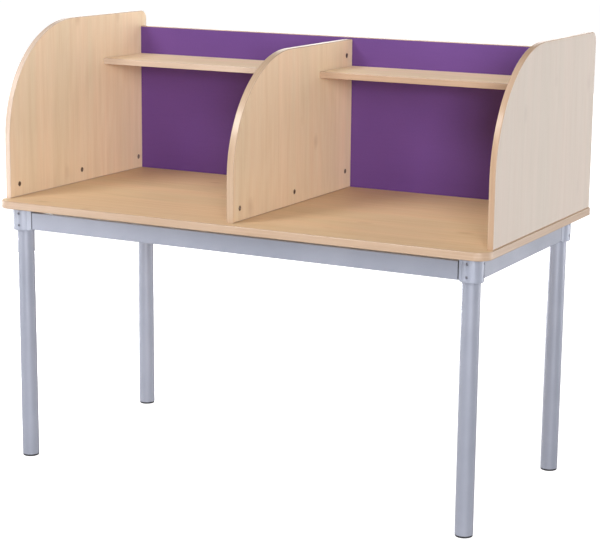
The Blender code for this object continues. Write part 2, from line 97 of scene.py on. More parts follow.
# Fittings.
CAM_RADIUS = 0.0072
CAM_BORE_RADIUS = 0.0075
CLAMP_SEAT_DEPTH = 0.0023
CLAMP_SINK_RADIUS = 0.0041
PAD_OFFSET = 0.0215  # from a leg's axis in to the worktop screw's, in X and in Y
PAD_HEAD = 0.0030  # from the top of a worktop screw's head to its seat
PAD_BORE_RADIUS = 0.0047
SHANK_RADIUS = 0.0020
SHANK_BORE_RADIUS = 0.0024
SUNK_BORE_RADIUS = 0.0023
SUNK_HEAD_BORE_RADIUS = 0.0056

# Camera.
CAMERA_PLACE = (2.3663, -4.4135, 1.6404)
CAMERA_TURN = (0.48749, 0.21293, 0.00968)  # yaw to the left, pitch down and roll, in radians
FOCAL_LENGTH_MM = 107.547


def centre_of(node):
    low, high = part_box(node)
    return (low + high) / 2


def axis_of(label):
    return centre_of("leg_" + label)


SCREW_ZS = tuple(centre_of("clamp_screw_front_left_" + level).z for level in ("lower", "upper"))


# ---------------------------------------------------------------- mesh tools


def mesh_object(name, verts, faces, material=None, sharp=35):
    """A smooth-shaded mesh, sharp where its faces turn by more than so many degrees."""
    mesh = bpy.data.meshes.new(name)
    mesh.from_pydata([tuple(v) for v in verts], [], faces)
    bm = bmesh.new()
    bm.from_mesh(mesh)
    bmesh.ops.recalc_face_normals(bm, faces=bm.faces)
    bm.to_mesh(mesh)
    bm.free()
    obj = bpy.data.objects.new(name, mesh)
    bpy.context.scene.collection.objects.link(obj)
    if material:
        mesh.materials.append(material)
    mesh.shade_smooth()
    mesh.set_sharp_from_angle(angle=math.radians(sharp))
    return obj


def skin(name, loops, material=None, ring=False, sharp=35):
    """A solid skinned over loops of equal length: capped at its ends, or joined into a ring."""
    count = len(loops[0])
    verts = [p for loop in loops for p in loop]
    faces = []
    last = len(loops) if ring else len(loops) - 1
    for level in range(last):
        low = level * count
        high = (level + 1) % len(loops) * count
        for i in range(count):
            j = (i + 1) % count
            faces.append((low + i, low + j, high + j, high + i))
    if not ring:
        faces.append(tuple(reversed(range(count))))
        top = (len(loops) - 1) * count
        faces.append(tuple(range(top, top + count)))
    return mesh_object(name, verts, faces, material, sharp)


def lathe(name, origin, axis, profile, sides, material=None, ring=False, sharp=35):
    """A turned solid: the profile holds (distance along the axis, radius) pairs."""
    turn = Vector((0, 0, 1)).rotation_difference(Vector(axis)).to_matrix().to_4x4()
    place = Matrix.Translation(origin) @ turn
    loops = []
    for along, radius in profile:
        angles = [2 * math.pi * i / sides for i in range(sides)]
        loops.append([place @ Vector((radius * math.cos(a), radius * math.sin(a), along)) for a in angles])
    return skin(name, loops, material, ring, sharp)


def box(name, low, high):
    """A plain box between two corners, for the Booleans."""
    x0, y0, z0 = low
    x1, y1, z1 = high
    outline = [(x0, y0), (x1, y0), (x1, y1), (x0, y1)]
    return skin(name, [[(x, y, z) for x, y in outline] for z in (z0, z1)])


def boolean(target, tools, operation="DIFFERENCE"):
    """Applies the Booleans to the target and removes the tools."""
    for tool in tools:
        modifier = target.modifiers.new("cut", "BOOLEAN")
        modifier.operation = operation
        modifier.solver = "EXACT"
        modifier.object = tool
    graph = bpy.context.evaluated_depsgraph_get()
    graph.update()
    made = bpy.data.meshes.new_from_object(target.evaluated_get(graph))
    old = target.data
    target.modifiers.clear()
    target.data = made
    made.name = target.name
    bpy.data.meshes.remove(old)
    for tool in tools:
        bpy.data.objects.remove(tool, do_unlink=True)
    made.shade_smooth()
    made.set_sharp_from_angle(angle=math.radians(35))
    return target


def crisp(obj):
    """Keeps broad flat faces flat in shading beside their rounded edges."""
    modifier = obj.modifiers.new("flat_faces", "WEIGHTED_NORMAL")
    modifier.keep_sharp = True
    modifier.weight = 100
    return obj


def arc(centre, radius, start, end, steps):
    """Points of an arc between two angles in degrees, both ends included."""
    points = []
    for i in range(steps + 1):
        a = math.radians(start + (end - start) * i / steps)
        points.append((centre[0] + radius * math.cos(a), centre[1] + radius * math.sin(a)))
    return points


def inset(outline, distance):
    """The anticlockwise outline moved inwards, point for point."""
    moved = []
    for i, here in enumerate(outline):
        here = Vector(here)
        first = (here - Vector(outline[i - 1])).normalized()
        second = (Vector(outline[(i + 1) % len(outline)]) - here).normalized()
        a = Vector((-first.y, first.x))
        b = Vector((-second.y, second.x))
        moved.append(tuple(here + (a + b) / (1 + a.dot(b)) * distance))
    return moved


def rounded_rectangle(u0, v0, u1, v1, radius, steps):
    """An anticlockwise outline with its four corners rounded."""
    points = []
    for u, v, start in ((u0, v0, 180), (u1, v0, 270), (u1, v1, 0), (u0, v1, 90)):
        centre = (u + (radius if u == u0 else -radius), v + (radius if v == v0 else -radius))
        points += arc(centre, radius, start, start + 90, steps)
    return points


def across_x(u, v, w):
    return (w, u, v)


def across_y(u, v, w):
    return (u, w, v)


def across_z(u, v, w):
    return (u, v, w)


def lifted(sections, place):
    """The loops of (outline, distance) sections, put in space by one of the three functions above."""
    return [[place(u, v, w) for u, v in outline] for outline, w in sections]


# ---------------------------------------------------------------- materials


class Graph:
    """A node material built around its Principled shader."""

    def __init__(self, name, roughness=0.5, metallic=0.0, **sockets):
        self.material = bpy.data.materials.new(name)
        self.material.use_nodes = True
        self.tree = self.material.node_tree
        self.shader = self.tree.nodes["Principled BSDF"]
        self.shader.inputs["Roughness"].default_value = roughness
        self.shader.inputs["Metallic"].default_value = metallic
        for socket, value in sockets.items():
            self.shader.inputs[socket.replace("_", " ")].default_value = value
        self.place = self.node("ShaderNodeTexCoord").outputs["Object"]

    def node(self, kind, values=None, **settings):
        """A node whose inputs are given as plain values or as the sockets that feed them."""
        made = self.tree.nodes.new(kind)
        for key, value in settings.items():
            setattr(made, key, value)
        for socket, value in (values or {}).items():
            if isinstance(value, bpy.types.NodeSocket):
                self.tree.links.new(value, made.inputs[socket])
            else:
                made.inputs[socket].default_value = value
        return made

    def stretched(self, scale, shift=(0, 0, 0)):
        """The texture space scaled by axis: noise draws out along the axis of the smallest scale."""
        mapping = self.node("ShaderNodeMapping", {"Vector": self.place, "Scale": scale, "Location": shift})
        return mapping.outputs["Vector"]

    def noise(self, scale, vector=None, detail=4.0, rough=0.55, distort=0.0):
        values = {"Scale": scale, "Detail": detail, "Roughness": rough, "Distortion": distort}
        values["Vector"] = vector or self.place
        return self.node("ShaderNodeTexNoise", values).outputs["Fac"]

    def span(self, value, low, high, out_low=0.0, out_high=1.0):
        """The value mapped from one range to another, held at its ends."""
        values = {0: value, 1: low, 2: high, 3: out_low, 4: out_high}
        return self.node("ShaderNodeMapRange", values).outputs["Result"]

    def mix(self, factor, a, b, blend="MIX"):
        node = self.node("ShaderNodeMix", data_type="RGBA", blend_type=blend)
        for index, value in ((0, factor), (6, a), (7, b)):
            if isinstance(value, bpy.types.NodeSocket):
                self.tree.links.new(value, node.inputs[index])
            else:
                node.inputs[index].default_value = value
        return node.outputs[2]

    def maths(self, operation, a, b=0.0, c=0.0):
        values = {0: a, 1: b, 2: c}
        return self.node("ShaderNodeMath", values, operation=operation).outputs[0]

    def bump(self, height, distance, strength=1.0, normal=None):
        values = {"Height": height, "Distance": distance, "Strength": strength}
        if normal:
            values["Normal"] = normal
        return self.node("ShaderNodeBump", values).outputs["Normal"]

    def set(self, **links):
        for socket, value in links.items():
            self.tree.links.new(value, self.shader.inputs[socket.replace("_", " ")])
        return self.material


def rgb(r, g, b):
    return (r, g, b, 1.0)


def swapped(graph, vector, along):
    """Turns the texture space so that its X runs along the grain."""
    if along == "X":
        return vector
    split = graph.node("ShaderNodeSeparateXYZ", {0: vector})
    order = {"Z": ("Z", "Y", "X"), "Y": ("Y", "X", "Z")}[along]
    joined = graph.node("ShaderNodeCombineXYZ")
    for index, letter in enumerate(order):
        graph.tree.links.new(split.outputs[letter], joined.inputs[index])
    return joined.outputs[0]


def maple(name, along, shift, pale=0.0, gloss=0.30, tint=None):
    """Maple-effect melamine: soft streaks, a faint arching figure, fine pores and a few smudgy flecks; pale
    greys it towards a painted sheen.
    """
    g = Graph(name, roughness=0.48, Specular_IOR_Level=gloss)
    g.place = swapped(g, g.place, along)
    broad = g.noise(1.0, g.stretched((0.9, 11.0, 11.0), shift), 3.0, 0.6, 0.35)
    drift = g.noise(1.0, g.stretched((1.4, 4.0, 4.0), shift), 2.0, 0.5)
    streak = g.noise(1.0, g.stretched((2.6, 75.0, 75.0), shift), 5.0, 0.62, 0.20)
    fine = g.noise(1.0, g.stretched((7.0, 330.0, 330.0), shift), 3.0, 0.6)
    split = g.node("ShaderNodeSeparateXYZ", {0: g.stretched((1.0, 1.0, 1.0), shift)})
    across = g.maths("ADD", split.outputs["Y"], split.outputs["Z"])
    rings = g.maths("SINE", g.maths("MULTIPLY", g.maths("MULTIPLY_ADD", drift, 0.42, across), 120.0))
    pore = g.noise(1.0, g.stretched((40.0, 900.0, 900.0), shift), 2.0, 0.7)
    warp = g.noise(14.0, None, 3.0, 0.6)
    spot = g.node(
        "ShaderNodeTexVoronoi",
        {"Vector": g.stretched((5.0, 9.0, 9.0), shift), "Scale": 1.0, "Randomness": 1.0},
    )
    reach = g.maths("ADD", spot.outputs["Distance"], g.maths("MULTIPLY", warp, 0.16))
    fleck = g.span(reach, 0.13, 0.24, 1.0, 0.0)
    wheat, blush, honey = rgb(0.765, 0.592, 0.405), rgb(0.845, 0.618, 0.432), rgb(0.700, 0.492, 0.312)
    cream, ivory = rgb(0.900, 0.740, 0.560), rgb(0.890, 0.730, 0.550)
    brown, umber, sheen_grey = rgb(0.520, 0.345, 0.210), rgb(0.510, 0.315, 0.185), rgb(0.368, 0.367, 0.387)
    tone = g.mix(g.span(broad, 0.36, 0.64), wheat, blush)
    tone = g.mix(g.span(streak, 0.36, 0.70, 0.0, 0.45), tone, honey)
    tone = g.mix(g.span(fine, 0.45, 0.75, 0.0, 0.30), tone, cream)
    tone = g.mix(g.maths("MULTIPLY", g.span(rings, -1.0, 1.0), 0.14), tone, ivory)
    tone = g.mix(g.span(pore, 0.60, 0.80, 0.0, 0.22), tone, brown)
    tone = g.mix(g.maths("MULTIPLY", fleck, 0.34), tone, umber)
    if tint:
        tone = g.mix(1.0, tone, rgb(*tint), "MULTIPLY")
    # Greying the tone stands in for the white sheen of grazing light: painted reflection.
    if pale:
        tone = g.mix(pale, tone, sheen_grey)
    normal = g.bump(pore, 0.00006, 0.6)
    normal = g.bump(g.noise(900.0, None, 2.0), 0.00003, 0.5, normal)
    return g.set(Base_Color=tone, Roughness=g.span(streak, 0.3, 0.8, 0.44, 0.54), Normal=normal)


def maple_band(name, across, shift, tint=(1.0, 1.0, 1.0)):
    """Edge banding that matches the board: straight fine lines along the band, a little deeper in tone; its
    tint paints light and shade onto the band, board by board.
    """
    g = Graph(name, roughness=0.36, Specular_IOR_Level=0.5, Coat_Weight=0.25, Coat_Roughness=0.20)
    g.place = swapped(g, g.place, across)
    lines = g.noise(1.0, g.stretched((420.0, 5.0, 5.0), shift), 4.0, 0.6)
    patch = g.noise(1.0, g.stretched((9.0, 4.0, 4.0), shift), 3.0, 0.5)
    tones = ((0.420, 0.285, 0.192), (0.490, 0.350, 0.248), (0.375, 0.240, 0.152))
    # The tint scales all three tones: painted light and shade set per board.
    dark, light, worn = (rgb(*[c * t for c, t in zip(tone, tint)]) for tone in tones)
    tone = g.mix(g.span(lines, 0.3, 0.7), dark, light)
    tone = g.mix(g.span(patch, 0.4, 0.8, 0.0, 0.30), tone, worn)
    normal = g.bump(lines, 0.00005, 0.5)
    return g.set(Base_Color=tone, Roughness=g.span(patch, 0.3, 0.8, 0.31, 0.43), Normal=normal)


def purple_board():
    """Matte purple melamine with a fine pearl texture and a faint cloudiness."""
    g = Graph("purple_melamine", roughness=0.55, Specular_IOR_Level=0.42)
    cloud = g.noise(2.6, None, 3.0, 0.5)
    pearl = g.noise(620.0, None, 3.0, 0.6)
    grain = g.noise(1.0, g.stretched((9.0, 60.0, 160.0)), 4.0, 0.6)
    tone = g.mix(g.span(cloud, 0.3, 0.7), rgb(0.098, 0.035, 0.180), rgb(0.115, 0.043, 0.207))
    tone = g.mix(g.span(pearl, 0.45, 0.85, 0.0, 0.30), tone, rgb(0.165, 0.068, 0.285))
    tone = g.mix(g.span(grain, 0.5, 0.8, 0.0, 0.14), tone, rgb(0.075, 0.024, 0.140))
    normal = g.bump(pearl, 0.00008, 0.7)
    return g.set(Base_Color=tone, Roughness=g.span(cloud, 0.2, 0.8, 0.50, 0.62), Normal=normal)


def powder_coat(name, dark, light, roughness):
    """Silver-grey powder coat: fine orange peel, tiny bright flakes and slow changes of tone."""
    g = Graph(name, roughness=roughness, metallic=0.25, Specular_IOR_Level=0.5)
    slow = g.noise(7.0, None, 3.0, 0.5)
    peel = g.noise(420.0, None, 3.0, 0.55)
    flake = g.node("ShaderNodeTexVoronoi", {"Vector": g.place, "Scale": 1500.0}).outputs["Distance"]
    tone = g.mix(g.span(slow, 0.3, 0.7), dark, light)
    tone = g.mix(g.span(flake, 0.10, 0.30, 0.35, 0.0), tone, rgb(0.56, 0.58, 0.64))
    normal = g.bump(peel, 0.00010, 0.45)
    rough = g.span(peel, 0.3, 0.7, roughness - 0.05, roughness + 0.06)
    return g.set(Base_Color=tone, Roughness=rough, Normal=normal)


def moulded_plastic():
    """Black moulded plastic with a fine spark texture and scuffs."""
    g = Graph("moulded_black_plastic", roughness=0.5, Specular_IOR_Level=0.45)
    spark = g.noise(1400.0, None, 2.0, 0.6)
    scuff = g.noise(90.0, g.stretched((1.0, 1.0, 6.0)), 4.0, 0.65)
    tone = g.mix(g.span(scuff, 0.45, 0.8), rgb(0.014, 0.014, 0.017), rgb(0.040, 0.040, 0.044))
    normal = g.bump(spark, 0.00008, 0.6)
    return g.set(Base_Color=tone, Roughness=g.span(scuff, 0.3, 0.8, 0.42, 0.62), Normal=normal)


def cast_metal(name, dark, light, roughness, scale):
    """Small metal hardware: plating that varies in tone, with fine handling marks."""
    g = Graph(name, roughness=roughness, metallic=0.85)
    patch = g.noise(scale, None, 4.0, 0.6)
    mark = g.noise(1.0, g.stretched((scale * 3, scale * 12, scale * 3)), 3.0, 0.6)
    tone = g.mix(g.span(patch, 0.3, 0.7), dark, light)
    normal = g.bump(mark, 0.00004, 0.5)
    rough = g.span(mark, 0.3, 0.7, roughness - 0.08, roughness + 0.10)
    return g.set(Base_Color=tone, Roughness=rough, Normal=normal)


def bare_beech():
    g = Graph("bare_beech", roughness=0.68, Specular_IOR_Level=0.35)
    streak = g.noise(1.0, g.stretched((30.0, 420.0, 420.0)), 4.0, 0.6)
    tone = g.mix(g.span(streak, 0.3, 0.7), rgb(0.50, 0.33, 0.19), rgb(0.66, 0.48, 0.31))
    return g.set(Base_Color=tone, Normal=g.bump(streak, 0.0001, 0.6))


COAT = powder_coat("silver_powder_coat", rgb(0.272, 0.288, 0.350), rgb(0.308, 0.322, 0.388), 0.36)
CAST_COAT = powder_coat("casting_powder_coat", rgb(0.305, 0.325, 0.398), rgb(0.348, 0.368, 0.442), 0.34)
PLASTIC = moulded_plastic()
PURPLE = purple_board()
ZINC = cast_metal("bronzed_zinc", rgb(0.150, 0.105, 0.080), rgb(0.270, 0.205, 0.160), 0.42, 260.0)
STEEL = cast_metal("bright_zinc_plate", rgb(0.48, 0.48, 0.49), rgb(0.64, 0.64, 0.63), 0.30, 300.0)
DARK_STEEL = cast_metal("dark_screw_steel", rgb(0.180, 0.180, 0.210), rgb(0.300, 0.300, 0.340), 0.36, 300.0)
BEECH = bare_beech()


def piece(obj, slot, *nodes):
    """The object rides on the one rigid body and stands for the nodes, which are hidden. The slot is not
    used.
    """
    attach(obj, "root")
    if nodes:
        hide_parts(*nodes)
    return obj


# ---------------------------------------------------------------- boards


# Tone of each board's edge band against the worktop's, with painted light and shade: paler bands on the left
# boards and deeper ones on the right, for the key light's falloff across the front edges and the left edge's
# highlight.
BAND_PAINTED_LIGHT_TINT = {
    "left_side_panel": (1.34, 1.50, 1.74),
    "centre_divider": (1.05, 1.06, 1.04),
    "right_side_panel": (0.97, 0.92, 0.86),
    "left_shelf": (1.20, 1.32, 1.48),
    "right_shelf": (1.02, 1.00, 1.00),
}


def core_board(name, outline, place, low, high, material):
    """The laminated board inside its edge band, with a hairline chamfer where they meet."""
    small = inset(outline, BOARD_CHAMFER)
    sections = (
        (small, low),
        (outline, low + BOARD_CHAMFER),
        (outline, high - BOARD_CHAMFER),
        (small, high),
    )
    return skin(name, lifted(sections, place), material)


def band_ring(name, outline, thickness, place, low, high, arris, material):
    """An edge band round a whole board, its outer arrises rounded."""
    low, high = low + BAND_SINK, high - BAND_SINK
    angles = [math.radians(90 * i / ARRIS_STEPS) for i in range(ARRIS_STEPS + 1)]
    rounding = [(arris * (1 - math.sin(a)), arris * (1 - math.cos(a))) for a in angles]
    section = [(thickness, low)]
    section += [(inwards, low + rise) for inwards, rise in rounding]
    section += [(inwards, high - rise) for inwards, rise in reversed(rounding)]
    section.append((thickness, high))
    sections = [(inset(outline, inwards), w) for inwards, w in section]
    return skin(name, lifted(sections, place), material, ring=True)


def banded(node, outline, place, low, high, arris, face_material, band_material, cutters=()):
    """A board made of its core and its edge band, which stand for the CAD node."""
    core = core_board(node + "_board", inset(outline, BAND), place, low, high, face_material)
    if cutters:
        boolean(core, cutters)
    crisp(piece(core, "maple_board", node))
    band = band_ring(node + "_edge_band", outline, BAND, place, low, high, arris, band_material)
    crisp(piece(band, "maple_board"))
    return core, band


def upright_outline(low, high, back_radius):
    """Side view of an upright board: square at the foot, arched at the front of its top."""
    front, back, bottom, top = low.y, high.y, low.z, high.z
    points = [(front, bottom), (back, bottom)]
    points += arc((back - back_radius, top - back_radius), back_radius, 0, 90, CORNER_STEPS)
    points += arc((front + ARCH_RADIUS, top - ARCH_RADIUS), ARCH_RADIUS, 90, 180, ARCH_STEPS)
    return points


def cam_bore(node):
    """The round bore that a cam sits in, cut through the board's face."""
    low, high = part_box(node)
    centre = centre_of(node)
    side = -1 if node.startswith(("left", "divider")) else 1
    face = low.x if side > 0 else high.x
    profile = [(-0.004, CAM_BORE_RADIUS), (high.x - low.x + 0.0004, CAM_BORE_RADIUS)]
    return lathe("bore", (face, centre.y, centre.z), (side, 0, 0), profile, 48)


def cam_nodes():
    return sorted(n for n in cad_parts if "_cam_" in n and not n.endswith("_bolt"))


def make_uprights():
    """The side panels and the divider, bored for their cams; the side panels' outer faces are greyed, a
    painted sheen of the bright surroundings.
    """
    back_low, back_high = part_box("back_panel")
    for index, node in enumerate(("left_side_panel", "right_side_panel", "centre_divider")):
        low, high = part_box(node)
        divider = node == "centre_divider"
        radius = DIVIDER_BACK_RADIUS if divider else SIDE_BACK_RADIUS
        outline = upright_outline(low, high, radius)
        prefix = "divider" if divider else node.replace("_side_panel", "_panel")
        cutters = [cam_bore(n) for n in cam_nodes() if n.startswith(prefix)]
        if not divider:
            x0 = back_low.x - GROOVE_GAP if low.x < 0 else low.x - 0.001
            x1 = high.x + 0.001 if low.x < 0 else back_high.x + GROOVE_GAP
            y0, y1 = back_low.y - GROOVE_GAP, back_high.y + GROOVE_GAP
            cutters.append(box("groove", (x0, y0, low.z - 0.01), (x1, y1, back_high.z + GROOVE_GAP)))
        face = maple(node + "_maple", "Z", (3.1 * index, 1.7 * index, 0.4), tint=(1.01, 1.03, 1.04))
        # The band's tint for this board is painted light and shade.
        band = maple_band(node + "_band_maple", "X", (0.0, 2.3 * index, 0.0), BAND_PAINTED_LIGHT_TINT[node])
        core, _ = banded(node, outline, across_x, low.x, high.x, ARRIS, face, band, cutters)
        if not divider:
            # The outer faces get a greyed copy of the maple: a painted sheen, not a paler board.
            outer = maple(node + "_outer_sheen_maple", "Z", (3.1 * index, 1.7 * index, 0.4), pale=0.60)
            core.data.materials.append(outer)
            way = -1 if low.x < 0 else 1
            for polygon in core.data.polygons:
                if polygon.normal.x * way > 0.99 and polygon.center.x * way > (low.x + high.x) / 2 * way:
                    polygon.material_index = 1


def make_worktop():
    """The worktop, with large front corners and nearly square back ones."""
    low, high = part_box("worktop")
    outline = []
    corners = (
        (low.x, low.y, TOP_FRONT_RADIUS, 180),
        (high.x, low.y, TOP_FRONT_RADIUS, 270),
        (high.x, high.y, TOP_BACK_RADIUS, 0),
        (low.x, high.y, TOP_BACK_RADIUS, 90),
    )
    for x, y, radius, start in corners:
        centre = (x - math.copysign(radius, x), y - math.copysign(radius, y))
        outline += arc(centre, radius, start, start + 90, CORNER_STEPS)
    face = maple("worktop_maple", "X", (0.6, 5.2, 0.9), gloss=0.10, tint=(0.86, 0.80, 0.70))
    band = maple_band("worktop_band_maple", "Z", (1.3, 0.0, 0.0))
    banded("worktop", outline, across_z, low.z, high.z, TOP_ARRIS, face, band)


def make_shelves():
    for index, node in enumerate(("left_shelf", "right_shelf")):
        low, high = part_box(node)
        shift = (2.2 + index, 8.4, 1.6 * index)
        face = maple(node + "_maple", "X", shift, gloss=0.10, tint=(1.10, 1.12, 1.10))
        # The band's tint for this shelf is painted light and shade.
        band = maple_band(node + "_band_maple", "Z", (0.0, 0.8 * index, 0.0), BAND_PAINTED_LIGHT_TINT[node])
        outline = [(low.x, low.y), (high.x, low.y), (high.x, high.y), (low.x, high.y)]
        banded(node, outline, across_z, low.z, high.z, ARRIS, face, band)


def make_back_panel():
    """The purple board, sunk for the shelf screws, with a pale band along its top edge only."""
    low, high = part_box("back_panel")
    lip = high.z - BAND
    outline = [(low.x, low.z), (high.x, low.z), (high.x, lip), (low.x, lip)]
    core = core_board("back_panel_board", outline, across_y, low.y, high.y, PURPLE)
    screws = [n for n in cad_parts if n.startswith("shelf_screw")]
    cutters = []
    for node in screws:
        centre = centre_of(node)
        sink = [(-0.001, SUNK_HEAD_BORE_RADIUS), (0.0034, SUNK_BORE_RADIUS), (0.016, SUNK_BORE_RADIUS)]
        cutters.append(lathe("sink", (centre.x, high.y, centre.z), (0, -1, 0), sink, 32))
    boolean(core, cutters)
    crisp(piece(core, "purple_board", "back_panel"))
    section = []
    for corner_y, start in ((low.y + ARRIS, 180), (high.y - ARRIS, 90)):
        section += arc((corner_y, high.z - ARRIS), ARRIS, start, start - 90, 6)
    section = [(low.y, lip)] + section + [(high.y, lip)]
    loops = [[(x, y, z) for y, z in section] for x in (low.x, high.x)]
    band_material = maple_band("back_panel_band_maple", "Y", (0.0, 0.0, 1.1))
    crisp(piece(skin("back_panel_top_band", loops, band_material), "maple_board"))


# ---------------------------------------------------------------- tube frame


def make_rail(node, along):
    """A rectangular tube with rounded corners and open ends, and a thin black ring in the joint gap at each
    end, painted shadow for the gap.
    """
    low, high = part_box(node)
    if along == "X":
        outer = rounded_rectangle(low.y, low.z, high.y, high.z, RAIL_RADIUS, 6)
        ends = (low.x, high.x)
        order = across_x
    else:
        outer = rounded_rectangle(low.x, low.z, high.x, high.z, RAIL_RADIUS, 6)
        ends = (low.y, high.y)
        order = across_y
    inner = inset(outer, RAIL_WALL)
    rim = inset(outer, RAIL_LIP)
    sections = (
        (rim, ends[0]),
        (outer, ends[0] + RAIL_LIP),
        (outer, ends[1] - RAIL_LIP),
        (rim, ends[1]),
        (inner, ends[1]),
        (inner, ends[0]),
    )
    crisp(piece(skin(node + "_tube", lifted(sections, order), COAT, ring=True), "silver_coat", node))
    # Black ring filling each joint gap: a dark strip where there is only the gap's shade, painted shadow.
    wide, narrow = inset(outer, SHADE_RING_SINK), inset(outer, RAIL_WALL + SHADE_RING_GAP)
    for label, end, way in (("low", ends[0], -1), ("high", ends[1], 1)):
        near, far = end + way * SHADE_RING_GAP, end + way * (JOINT_GAP - SHADE_RING_GAP)
        loops = lifted(((wide, near), (wide, far), (narrow, far), (narrow, near)), order)
        crisp(piece(skin(node + "_shade_ring_" + label, loops, PLASTIC, ring=True), "black_plastic"))


def casting_outline(reach, shrink):
    """Plan of a casting, local axes pointing outwards: two flanges joined by a round boss."""
    k = RAIL_FACE - shrink
    fillet = FILLET + shrink
    reach -= shrink
    centre = BOSS_OFFSET
    lift = fillet + k
    across = math.sqrt((BOSS_RADIUS + FILLET) ** 2 - (lift - centre) ** 2)
    join = (centre - across, lift)
    touch = math.degrees(math.atan2(lift - centre, -across))
    hollow = arc(join, fillet, touch - 180, -90, 6)
    mirrored = [(v, u) for u, v in reversed(hollow)]
    boss = arc((centre, centre), BOSS_RADIUS - shrink, 90 - touch, touch, 40)
    corner = max(0.0003, FLANGE_CORNER - shrink)
    points = mirrored + boss[1:-1] + hollow
    points += arc((corner - reach, k - corner), corner, 90, 180, 3)
    points += arc((corner - reach, corner - reach), corner, 180, 270, 3)
    points += arc((k - corner, corner - reach), corner, 270, 360, 3)
    return points


def make_casting(label, sx, sy, axis):
    """A corner casting with its spigots, leg socket and screw seats; returns how far out its seats are."""
    node = "corner_casting_" + label
    low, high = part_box(node)
    bottom, top = low.z, high.z
    rail_low, rail_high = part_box("left_rail" if sx < 0 else "right_rail")
    rail_end = rail_low.y if sy < 0 else rail_high.y
    reach = abs(axis.y - rail_end) - JOINT_GAP

    def at(u, v, z):
        return (axis.x + sx * u, axis.y + sy * v, z)

    levels = []
    slope_end = rail_low.z + 0.0008
    for i in range(BOSS_EDGE_STEPS):
        a = math.radians(90 * i / BOSS_EDGE_STEPS)
        levels.append((bottom + BOSS_EDGE * (1 - math.cos(a)), BOSS_EDGE * (1 - math.sin(a)) * 0.8))
    levels.append((bottom + BOSS_EDGE, 0.0))
    levels += [(slope_end, 0.0), (top - 0.0006, 0.0), (top, 0.0006)]
    loops = []
    for z, shrink in levels:
        slope = max(0.0, min(1.0, (slope_end - z) / (slope_end - bottom)))
        outline = casting_outline(reach - FLANGE_SLOPE * slope, shrink)
        loops.append([at(u, v, z) for u, v in outline])
    casting = skin(node + "_boss", loops, CAST_COAT)

    front_low, front_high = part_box("front_rail")
    inner = RAIL_WALL + SPIGOT_GAP
    v0 = RAIL_FACE - (front_high.y - front_low.y) + inner
    v1 = RAIL_FACE - inner
    z0, z1 = front_low.z + inner, front_high.z - inner
    far = -reach - SPIGOT_LENGTH
    root = 0.004 - reach
    joins = []
    for a, b in (((far, v0), (root, v1)), ((v0, far), (v1, root))):
        p, q = Vector(at(*a, z0)), Vector(at(*b, z1))
        corners = [min(m, n) for m, n in zip(p, q)], [max(m, n) for m, n in zip(p, q)]
        joins.append(box("spigot", *corners))
    boolean(casting, joins, "UNION")

    leg_low, leg_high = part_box("leg_" + label)
    bore_radius = (leg_high.x - leg_low.x) / 2 + SOCKET_GAP
    below = 0.005
    socket = [(0, bore_radius), (leg_high.z - bottom + below + SOCKET_GAP, bore_radius)]
    tools = [lathe("socket", at(0, 0, bottom - below), (0, 0, 1), socket, ROUND)]
    face = BOSS_OFFSET + math.sqrt(BOSS_RADIUS**2 - BOSS_OFFSET**2)
    seat = face - CLAMP_SEAT_DEPTH
    for z in SCREW_ZS:
        for place, way in ((at(0, seat, z), (0, sy, 0)), (at(seat, 0, z), (sx, 0, 0))):
            sink = [
                (-0.010, SHANK_BORE_RADIUS),
                (0, SHANK_BORE_RADIUS),
                (0.00005, CLAMP_SINK_RADIUS),
                (0.006, CLAMP_SINK_RADIUS),
            ]
            tools.append(lathe("sink", place, way, sink, 32))
    pad_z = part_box("worktop_screw_" + label)[0].z + PAD_HEAD
    bore = [
        (bottom - pad_z - 0.003, PAD_BORE_RADIUS),
        (0, PAD_BORE_RADIUS),
        (0.00005, SHANK_BORE_RADIUS),
        (top - pad_z + 0.003, SHANK_BORE_RADIUS),
    ]
    tools.append(lathe("bore", at(-PAD_OFFSET, -PAD_OFFSET, pad_z), (0, 0, 1), bore, 32))
    boolean(casting, tools)
    crisp(piece(casting, "casting_coat", node))
    return seat


def make_leg(label, axis):
    """An open round tube, and the thin collar just below its casting."""
    node = "leg_" + label
    low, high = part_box(node)
    radius = (high.x - low.x) / 2
    inner = radius - LEG_WALL
    profile = [
        (0, inner + LEG_LIP),
        (0, radius - LEG_LIP),
        (LEG_LIP * 0.4, radius - LEG_LIP * 0.25),
        (LEG_LIP, radius),
        (high.z - low.z, radius),
        (high.z - low.z, inner),
        (LEG_LIP, inner),
    ]
    leg = lathe(node + "_tube", (axis.x, axis.y, low.z), (0, 0, 1), profile, ROUND, COAT, ring=True)
    crisp(piece(leg, "silver_coat", node))
    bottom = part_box("corner_casting_" + label)[0].z
    proud = radius + COLLAR_PROUD
    collar = [
        (-0.0062, radius + 0.0001),
        (-0.0058, proud),
        (-0.0012, proud),
        (-0.0008, radius + 0.0001),
    ]
    ring = lathe("leg_collar_" + label, (axis.x, axis.y, bottom), (0, 0, 1), collar, ROUND, COAT, ring=True)
    crisp(piece(ring, "silver_coat"))


